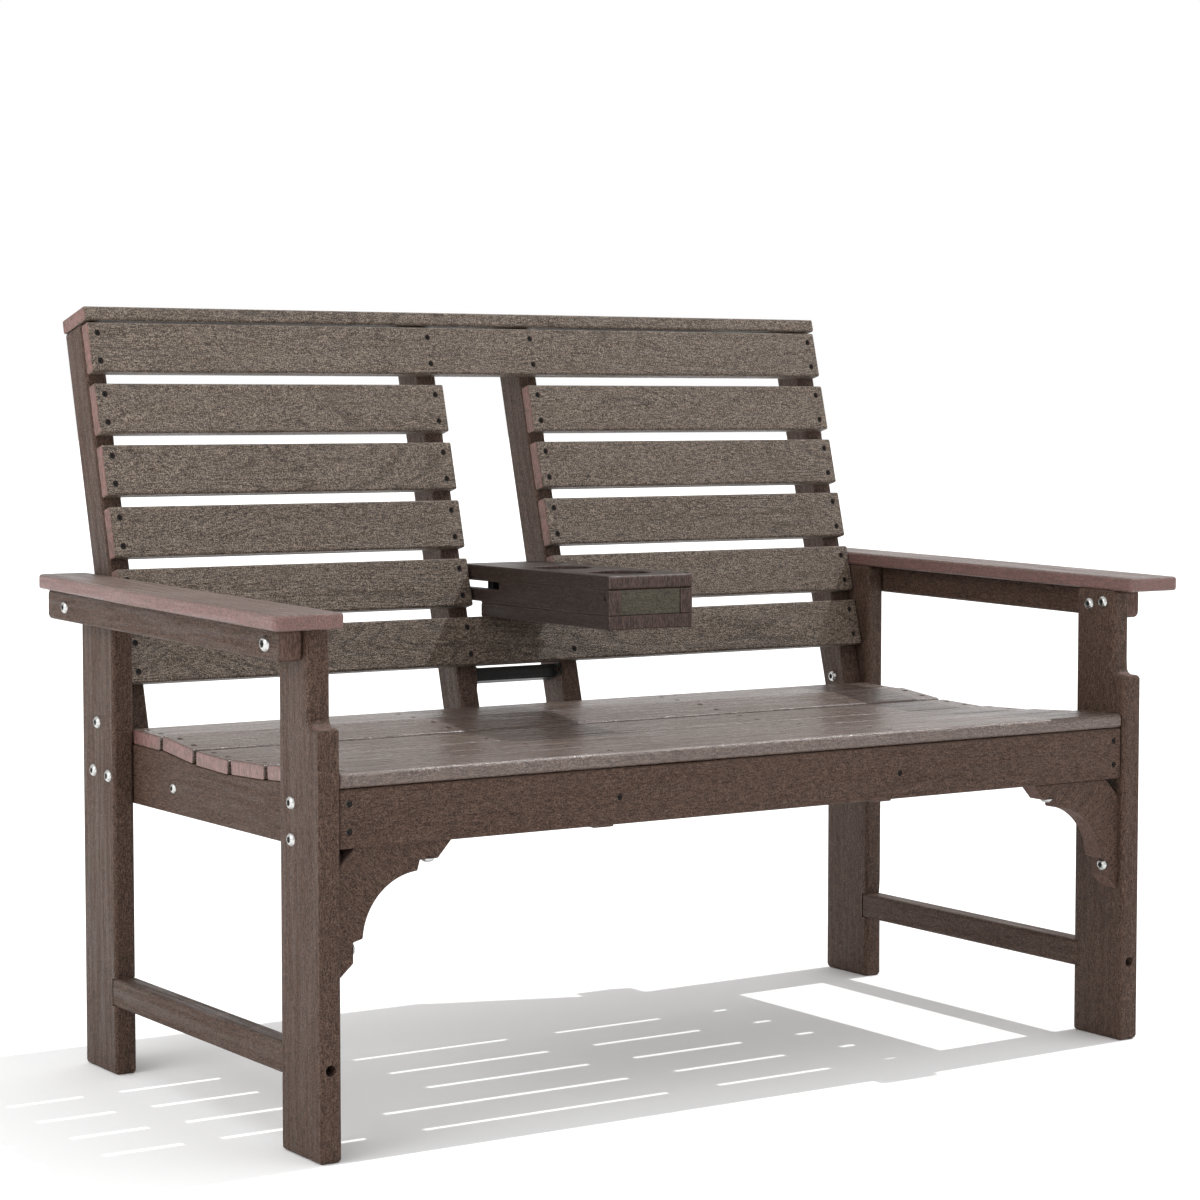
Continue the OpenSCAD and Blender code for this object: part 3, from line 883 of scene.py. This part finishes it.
@dataclass
class Underframe:
    """Legs, stretchers, arm rails and the rails under the seat."""

    finish: LumberFinish = FRAME_LUMBER

    def build(self) -> list[bpy.types.Object]:
        """Make every board of the underframe.

        Returns:
            The pieces.
        """
        boards = []
        for side in ("left", "right"):
            house = (f"{side}_stretcher",)
            boards += [
                Board(f"{side}_front_leg", Along.UPRIGHT, self.finish, LEG, house),
                Board(f"{side}_rear_leg", Along.UPRIGHT, self.finish, LEG, house),
                Board(f"{side}_stretcher", Along.DEPTH, self.finish, RAIL),
                Board(f"{side}_arm_rail", Along.DEPTH, self.finish, RAIL),
                Board(f"{side}_seat_rail", Along.DEPTH, self.finish, SUPPORT),
                Board(f"{side}_middle_support", Along.DEPTH, self.finish, SUPPORT),
            ]
        boards += [
            Board("front_apron", Along.ACROSS, self.finish, SLAT),
            Board("rear_cross_rail", Along.ACROSS, self.finish, SUPPORT),
            Board("left_corner_bracket", Along.RISING, self.finish, SUPPORT),
            Board("right_corner_bracket", Along.FALLING, self.finish, SUPPORT),
        ]
        return [board.build() for board in boards]


@dataclass
class Seat:
    """The seat's slats."""

    count: int = 6
    finish: LumberFinish = SEAT_LUMBER

    def build(self) -> list[bpy.types.Object]:
        """Make the seat slats, front to back.

        Returns:
            The pieces.
        """
        rows = range(1, self.count + 1)
        return [Board(f"seat_slat_{k}", Along.ACROSS, self.finish, SLAT).build() for k in rows]


@dataclass
class Armrests:
    """The two armrest boards."""

    finish: LumberFinish = ARM_LUMBER

    def build(self) -> list[bpy.types.Object]:
        """Make both armrests.

        Returns:
            The pieces.
        """
        return [Board(f"{side}_armrest", Along.DEPTH, self.finish, ARM).build() for side in ("left", "right")]


@dataclass
class Backrest:
    """Stiles, slats and top cap of the backrest."""

    split_rows: range = range(2, 6)
    slats: LumberFinish = BACK_LUMBER_PAINTED_LIT
    stiles: LumberFinish = FRAME_LUMBER

    def build(self) -> list[bpy.types.Object]:
        """Make the backrest.

        Returns:
            The pieces.
        """
        boards = [Board("top_cap", Along.ACROSS, self.slats, SLAT)]
        boards += [Board(f"back_slat_{row}", Along.ACROSS, self.slats, SLAT) for row in ("top", "bottom")]
        for side in ("left", "right"):
            boards += [Board(f"{side}_back_slat_{row}", Along.ACROSS, self.slats, SLAT)
                       for row in self.split_rows]
            boards += [Board(f"{side}_{place}_stile", Along.RECLINED, self.stiles, RAIL)
                       for place in ("outer", "middle")]
        return [board.build() for board in boards]


@dataclass
class FoldingTray:
    """Boards of the tray and the bar that stops it when it is folded up."""

    finish: LumberFinish = TRAY_LUMBER_PAINTED_SHADE

    def build(self) -> list[bpy.types.Object]:
        """Make the tray's boards and the stop bar.

        Returns:
            The pieces.
        """
        boards = [
            Board("tray_bottom", Along.DEPTH, self.finish, PANEL),
            Board("tray_top", Along.DEPTH, self.finish, PANEL),
            Board("tray_left_side", Along.DEPTH, self.finish, PANEL),
            Board("tray_right_side", Along.DEPTH, self.finish, PANEL),
            Board("tray_end", Along.ACROSS, END_LUMBER, PANEL),
            Board("tray_block", Along.ACROSS, BLACK_PLASTIC, PANEL),
            Board("tray_stop_bar", Along.ACROSS, BLACK_PLASTIC, PANEL),
        ]
        return [board.build() for board in boards]


# ---------------------------------------------------------------- fasteners


@dataclass(frozen=True)
class Place:
    """Where one fastener's head sits: its top, its outward direction and its radius."""

    top: Vector
    outward: Vector
    radius: float


END_SLICE = 0.05 * MM
HEAD_DEPTH = 5.5 * MM
DOMED_LEAST = 5 * MM
SUNK_LEAST = 3 * MM


def fastener_places(node: str, least: float) -> list[Place]:
    """Read every head of a CAD group of fasteners from its solids.

    Args:
        node: The group's node.
        least: Radius above which an end is a head.

    Returns:
        One place for each head; a through bolt has two.
    """
    mesh = loose_mesh(node)
    places = []
    for group in islands(mesh.verts[:], lambda v: [e.other_vert(v) for e in v.link_edges]):
        points = np.array([v.co[:] for v in group])
        centre = points.mean(axis=0)
        spread, axes = np.linalg.eigh(np.cov((points - centre).T))
        axis = axes[:, 0 if spread[1] / spread[0] > spread[2] / spread[1] else 2]
        along = (points - centre) @ axis
        near_end = np.abs(along - along.min()) < END_SLICE
        base = points[near_end].mean(axis=0) - axis * along.min()
        radial = np.linalg.norm((points - base) - np.outer((points - base) @ axis, axis), axis=1)
        for way in (-1.0, 1.0):
            reach = (along * way).max()
            head = along * way > reach - HEAD_DEPTH
            radius = radial[head].max()
            if radius > least:
                places.append(Place(Vector(base + axis * way * reach), Vector(axis * way), float(radius)))
    mesh.free()
    return places


class HeadShape(Enum):
    """The kinds of head a fastener has."""

    DOMED = "domed"
    SUNK = "sunk"


@dataclass(frozen=True)
class HeadMaster:
    """A fastener of unit head radius, built of rings round Z with its top at the origin."""

    shape: HeadShape
    sides: int = 48

    # Each ring is a radius, a height and how much painted shade it carries, from below upwards: the dark
    # rings round the dome's foot paint its shadow on the board.
    DOMED_RINGS = (
        (1.16, -0.62, 1.0), (1.16, -0.56, 1.0), (1.02, -0.555, 1.0), (0.995, -0.50, 0.0),
        (0.97, -0.40, 0.0), (0.90, -0.26, 0.0), (0.78, -0.13, 0.0), (0.62, -0.035, 0.0),
        (0.56, -0.012, 0.0),
    )
    SUNK_RINGS = (
        (0.42, -5.0, 0.0), (0.42, -0.75, 0.0), (0.93, -0.12, 0.0), (0.985, -0.06, 0.0),
        (0.985, -0.02, 0.0), (0.93, 0.0, 0.0), (0.66, 0.0, 0.0),
    )

    def build(self) -> bpy.types.Object:
        """Make the master object, hidden from renders.

        Returns:
            The master.
        """
        shape = bmesh.new()
        mask = shape.verts.layers.float.new("recess")
        domed = self.shape is HeadShape.DOMED
        rings = [[(r * x, r * y, z, dark) for x, y in self._circle()]
                 for r, z, dark in (self.DOMED_RINGS if domed else self.SUNK_RINGS)]
        socket = self._hexagon(0.44) if domed else self._star(0.46)
        depth = -0.42 if domed else -0.55
        rings.append([(x, y, 0.0 if domed else -0.02, 0.0) for x, y in socket])
        # Painted shade: the socket's walls and floor are marked dark so they render as shaded.
        rings.append([(0.94 * x, 0.94 * y, 0.4 * depth, 0.8) for x, y in socket])
        rings.append([(0.9 * x, 0.9 * y, depth, 1.0) for x, y in socket])
        if domed:
            rings.insert(0, [(0.5 * x, 0.5 * y, -0.62, 1.0) for x, y in self._circle()])
            rings.insert(0, [(0.5 * x, 0.5 * y, -2.6, 0.0) for x, y in self._circle()])
        loops = []
        for ring in rings:
            loop = []
            for x, y, z, dark in ring:
                vert = shape.verts.new((x, y, z))
                vert[mask] = dark
                loop.append(vert)
            loops.append(loop)
        for low, high in zip(loops, loops[1:]):
            for k in range(self.sides):
                n = (k + 1) % self.sides
                shape.faces.new((low[k], low[n], high[n], high[k]))
        shape.faces.new(loops[-1])
        shape.faces.new(list(reversed(loops[0])))
        bmesh.ops.recalc_face_normals(shape, faces=shape.faces)
        mesh = bpy.data.meshes.new(f"{self.shape.value}_master")
        shape.to_mesh(mesh)
        shape.free()
        for face in mesh.polygons:
            face.use_smooth = True
        mesh.set_sharp_from_angle(angle=math.radians(40))
        return bpy.data.objects.new(mesh.name, mesh)

    def _circle(self) -> list[tuple[float, float]]:
        """Points of the unit circle."""
        return [(math.cos(2 * math.pi * k / self.sides), math.sin(2 * math.pi * k / self.sides))
                for k in range(self.sides)]

    def _hexagon(self, across: float) -> list[tuple[float, float]]:
        """Points along a hexagon.

        Args:
            across: Distance from its middle to a flat.

        Returns:
            One point for each side of the rings.
        """
        points = []
        for x, y in self._circle():
            angle = math.atan2(y, x) % (math.pi / 3) - math.pi / 6
            reach = across / math.cos(angle)
            points.append((reach * x, reach * y))
        return points

    def _star(self, reach: float) -> list[tuple[float, float]]:
        """Points along a six-lobed drive.

        Args:
            reach: Distance from its middle to a lobe's tip.

        Returns:
            One point for each side of the rings.
        """
        points = []
        for x, y in self._circle():
            wave = 0.86 + 0.14 * math.cos(6 * math.atan2(y, x))
            points.append((reach * wave * x, reach * wave * y))
        return points


def build_fastener_tree() -> tuple[bpy.types.NodeTree, dict[str, str]]:
    """Geometry nodes that put one head on every point, turned to its outward direction.

    Returns:
        The tree and its inputs' identifiers by name.
    """
    tree = bpy.data.node_groups.new("fasteners_on_points", "GeometryNodeTree")
    tree.is_modifier = True
    sockets = {}
    for name, kind in (("Points", "NodeSocketGeometry"), ("Head", "NodeSocketObject"),
                       ("Finish", "NodeSocketMaterial"), ("Seed", "NodeSocketInt")):
        sockets[name] = tree.interface.new_socket(name, in_out="INPUT", socket_type=kind).identifier
    tree.interface.new_socket("Geometry", in_out="OUTPUT", socket_type="NodeSocketGeometry")
    wrap = Tree(tree)
    source = wrap.add("NodeGroupInput")
    sink = wrap.add("NodeGroupOutput")
    outward = wrap.add("GeometryNodeInputNamedAttribute", data_type="FLOAT_VECTOR")
    outward.inputs["Name"].default_value = "outward"
    size = wrap.add("GeometryNodeInputNamedAttribute", data_type="FLOAT")
    size.inputs["Name"].default_value = "size"
    aligned = wrap.add("FunctionNodeAlignRotationToVector", axis="Z")
    wrap.link(outward.outputs["Attribute"], aligned.inputs["Vector"])
    spin = wrap.add("FunctionNodeRandomValue", data_type="FLOAT")
    angles = [s for s in spin.inputs if s.name in ("Min", "Max") and s.type == "VALUE"]
    angles[0].default_value, angles[1].default_value = 0.0, math.tau
    wrap.link(source.outputs["Seed"], next(s for s in spin.inputs if s.name == "Seed"))
    twist = wrap.add("ShaderNodeCombineXYZ")
    wrap.link(next(s for s in spin.outputs if s.type == "VALUE" and s.enabled), twist.inputs["Z"])
    turned = wrap.add("FunctionNodeRotateRotation", rotation_space="LOCAL")
    wrap.link(aligned.outputs[0], turned.inputs[0])
    wrap.link(twist.outputs[0], turned.inputs[1])
    head = wrap.add("GeometryNodeObjectInfo", transform_space="ORIGINAL")
    wrap.link(source.outputs["Head"], head.inputs["Object"])
    placed = wrap.add("GeometryNodeInstanceOnPoints")
    wrap.link(source.outputs["Points"], placed.inputs["Points"])
    wrap.link(head.outputs["Geometry"], placed.inputs["Instance"])
    wrap.link(turned.outputs[0], placed.inputs["Rotation"])
    wrap.link(size.outputs["Attribute"], placed.inputs["Scale"])
    real = wrap.add("GeometryNodeRealizeInstances")
    wrap.link(placed.outputs[0], real.inputs[0])
    finish = wrap.add("GeometryNodeSetMaterial")
    wrap.link(real.outputs[0], finish.inputs["Geometry"])
    wrap.link(source.outputs["Finish"], finish.inputs["Material"])
    wrap.link(finish.outputs[0], sink.inputs["Geometry"])
    return tree, sockets


@dataclass
class FastenerSet:
    """One CAD group of fasteners, shown with detailed heads."""

    node: str
    master: bpy.types.Object
    finish: MetalFinish
    least: float
    seed: int = 1

    def build(self, tree: bpy.types.NodeTree, sockets: dict[str, str]) -> bpy.types.Object:
        """Instance the heads on the group's places and hang them in place of the CAD node.

        Args:
            tree: The instancing tree.
            sockets: Its inputs' identifiers.

        Returns:
            The piece.
        """
        places = fastener_places(self.node, self.least)
        points = bpy.data.meshes.new(f"{self.node}_points")
        points.from_pydata([p.top for p in places], [], [])
        points.attributes.new("outward", "FLOAT_VECTOR", "POINT")
        points.attributes.new("size", "FLOAT", "POINT")
        points.attributes["outward"].data.foreach_set("vector", [c for p in places for c in p.outward])
        points.attributes["size"].data.foreach_set("value", [p.radius for p in places])
        piece = new_object(f"{self.node}_heads", points)
        modifier = piece.modifiers.new("heads", "NODES")
        modifier.node_group = tree
        modifier[sockets["Head"]] = self.master
        modifier[sockets["Finish"]] = self.finish.material()
        modifier[sockets["Seed"]] = self.seed
        mesh = evaluated_copy(piece)
        piece.modifiers.clear()
        piece.data = mesh
        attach(piece, body_of(self.node))
        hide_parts(self.node)
        return piece


@dataclass
class Fasteners:
    """Every bolt and screw on the bench."""

    domed: tuple[str, ...] = ("leg_bolts", "arm_bolts", "bracket_bolts")
    sunk: tuple[str, ...] = ("stretcher_screws", "apron_screws", "seat_screws", "back_screws",
                             "stop_bar_screws", "tray_screws")

    def build(self) -> list[bpy.types.Object]:
        """Make all the fastener pieces.

        Returns:
            The pieces.
        """
        tree, sockets = build_fastener_tree()
        domed = HeadMaster(HeadShape.DOMED).build()
        sunk = HeadMaster(HeadShape.SUNK).build()
        made = [FastenerSet(node, domed, BRIGHT_STEEL, DOMED_LEAST, k).build(tree, sockets)
                for k, node in enumerate(self.domed)]
        made += [FastenerSet(node, sunk, DARK_STEEL, SUNK_LEAST, 10 + k).build(tree, sockets)
                 for k, node in enumerate(self.sunk)]
        for master in (domed, sunk):
            bpy.data.objects.remove(master)
        dress(frame["nodes"]["tray_pivot_pins"], BRIGHT_STEEL.material())
        return made


# ---------------------------------------------------------------- studio


@dataclass(frozen=True)
class Lamp:
    """A soft area light."""

    name: str
    place: tuple[float, float, float]
    aim: tuple[float, float, float]
    size: tuple[float, float]
    watts: float
    tint: tuple[float, float, float] = (1.0, 1.0, 1.0)

    def build(self) -> bpy.types.Object:
        """Make the lamp.

        Returns:
            The lamp.
        """
        data = bpy.data.lights.new(self.name, "AREA")
        data.shape = "RECTANGLE"
        data.size, data.size_y = self.size
        data.energy = self.watts
        data.color = self.tint
        lamp = bpy.data.objects.new(self.name, data)
        bpy.context.scene.collection.objects.link(lamp)
        lamp.location = self.place
        way = Vector(self.aim) - Vector(self.place)
        lamp.rotation_euler = way.to_track_quat("-Z", "Y").to_euler()
        return lamp


@dataclass(frozen=True)
class Studio:
    """Floor, surroundings, lights and camera."""

    floor_tone: float = 0.96
    world_tone: float = 1.0
    world_strength: float = 1.0
    sun_from: tuple[float, float, float] = (0.688, 0.02, 1.0)
    sun_strength: float = 2.2
    sun_spread: float = 0.4
    eye: tuple[float, float, float] = (-2.142, -3.2506, 0.8324)
    gaze: tuple[float, float, float] = (0.54922, 0.83316, -0.06484)
    lens: float = 90.616

    def build(self) -> None:
        """Make the studio."""
        self._floor()
        self._world()
        self._lights()
        self._camera()

    def _floor(self) -> None:
        """A wide pale floor."""
        half = 60.0
        mesh = bpy.data.meshes.new("floor")
        mesh.from_pydata([(-half, -half, 0.0), (half, -half, 0.0), (half, half, 0.0), (-half, half, 0.0)], [],
                         [(0, 1, 2, 3)])
        floor = new_object("floor", mesh)
        material = bpy.data.materials.new("floor_pale")
        material.use_nodes = True
        shader = material.node_tree.nodes["Principled BSDF"]
        tone = self.floor_tone
        shader.inputs["Base Color"].default_value = (tone, tone, tone, 1.0)
        shader.inputs["Roughness"].default_value = 0.9
        shader.inputs["Specular IOR Level"].default_value = 0.1
        dress(floor, material)
        floor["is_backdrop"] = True

    def _world(self) -> None:
        """Even white surroundings."""
        world = bpy.data.worlds.new("studio")
        bpy.context.scene.world = world
        world.use_nodes = True
        sky = world.node_tree.nodes["Background"]
        sky.inputs["Color"].default_value = (self.world_tone,) * 3 + (1.0,)
        sky.inputs["Strength"].default_value = self.world_strength

    def _lights(self) -> None:
        """A soft sun from behind, to the right, and a fill from the left."""
        data = bpy.data.lights.new("sun", "SUN")
        data.energy = self.sun_strength
        data.angle = math.radians(self.sun_spread)
        sun = bpy.data.objects.new("sun", data)
        bpy.context.scene.collection.objects.link(sun)
        sun.rotation_euler = Vector(self.sun_from).to_track_quat("Z", "Y").to_euler()
        lamps = [Lamp("left_fill", (-3.2, -0.4, 1.7), (0.0, 0.0, 0.4), (2.4, 2.0), 38.0).build()]
        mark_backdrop(sun, *lamps)

    def _camera(self) -> None:
        """A long lens at standing distance, level with the armrests."""
        data = bpy.data.cameras.new("camera")
        data.lens = self.lens
        data.sensor_width = 36.0
        data.clip_end = 200.0
        camera = bpy.data.objects.new("camera", data)
        bpy.context.scene.collection.objects.link(camera)
        camera.location = self.eye
        camera.rotation_mode = "QUATERNION"
        camera.rotation_quaternion = Vector(self.gaze).to_track_quat("-Z", "Y")
        bpy.context.scene.camera = camera


def write_size(name: str, sizes: dict[str, list]) -> None:
    """Args:
        name: Which moment the bounds belong to.
        sizes: The bounds collected so far.
    """
    low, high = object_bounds()
    sizes[name] = [list(low), list(high)]


def main() -> None:
    """Dress the bench and set up the studio."""
    logging.basicConfig(level=logging.INFO, format="%(name)s: %(message)s")
    sizes: dict[str, list] = {}
    write_size("cad", sizes)
    for part in (Underframe(), Seat(), Armrests(), Backrest(), FoldingTray(), Fasteners()):
        pieces = part.build()
        log.info("%s: %d pieces", type(part).__name__, len(pieces))
    Studio().build()
    bpy.context.scene.view_settings.view_transform = "Standard"
    bpy.context.view_layer.update()
    write_size("shown", sizes)


if __name__ == "__main__":
    main()
